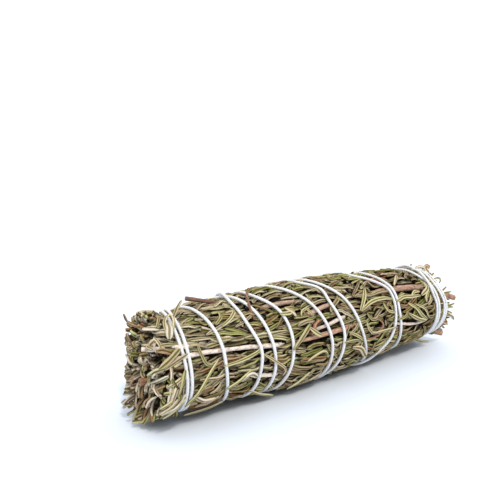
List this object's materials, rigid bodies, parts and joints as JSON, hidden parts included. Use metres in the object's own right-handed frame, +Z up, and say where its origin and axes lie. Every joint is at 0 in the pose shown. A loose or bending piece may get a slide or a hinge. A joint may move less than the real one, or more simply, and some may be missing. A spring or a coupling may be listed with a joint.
{
  "type": "rosemary smudge stick",
  "caption": "Dried rosemary sprigs laid side by side and bound into a round stick with criss-crossed white cotton string, lying on its flattened underside.",
  "frame": {"origin": "under the middle of the stick, on the surface that it lies on", "axes": "+X along the stick from its leafy tips to its cut woody stems, +Z up, -Y the front"},
  "size_m": [0.135, 0.0336, 0.032],
  "materials": {
    "dried_leaves": "matte",
    "woody_stem": "matte",
    "cotton_string": "matte"
  },
  "bodies": {
    "root": {"sprig_01_leaves": "dried_leaves", "sprig_01_stem": "woody_stem", "sprig_02_leaves": "dried_leaves", "sprig_02_stem": "woody_stem", "sprig_03_leaves": "dried_leaves", "sprig_03_stem": "woody_stem", "sprig_04_leaves": "dried_leaves", "sprig_04_stem": "woody_stem", "sprig_05_leaves": "dried_leaves", "sprig_05_stem": "woody_stem", "sprig_06_leaves": "dried_leaves", "sprig_06_stem": "woody_stem", "sprig_07_leaves": "dried_leaves", "sprig_07_stem": "woody_stem", "sprig_08_leaves": "dried_leaves", "sprig_08_stem": "woody_stem", "sprig_09_leaves": "dried_leaves", "sprig_09_stem": "woody_stem", "sprig_10_leaves": "dried_leaves", "sprig_10_stem": "woody_stem", "sprig_11_leaves": "dried_leaves", "sprig_11_stem": "woody_stem", "sprig_12_leaves": "dried_leaves", "sprig_12_stem": "woody_stem", "sprig_13_leaves": "dried_leaves", "sprig_13_stem": "woody_stem", "sprig_14_leaves": "dried_leaves", "sprig_14_stem": "woody_stem", "sprig_15_leaves": "dried_leaves", "sprig_15_stem": "woody_stem", "sprig_16_leaves": "dried_leaves", "sprig_16_stem": "woody_stem", "sprig_17_leaves": "dried_leaves", "sprig_17_stem": "woody_stem", "sprig_18_leaves": "dried_leaves", "sprig_18_stem": "woody_stem", "sprig_19_leaves": "dried_leaves", "sprig_19_stem": "woody_stem", "binding_string": "cotton_string", "string_knot": "cotton_string"}
  },
  "joints": []
}
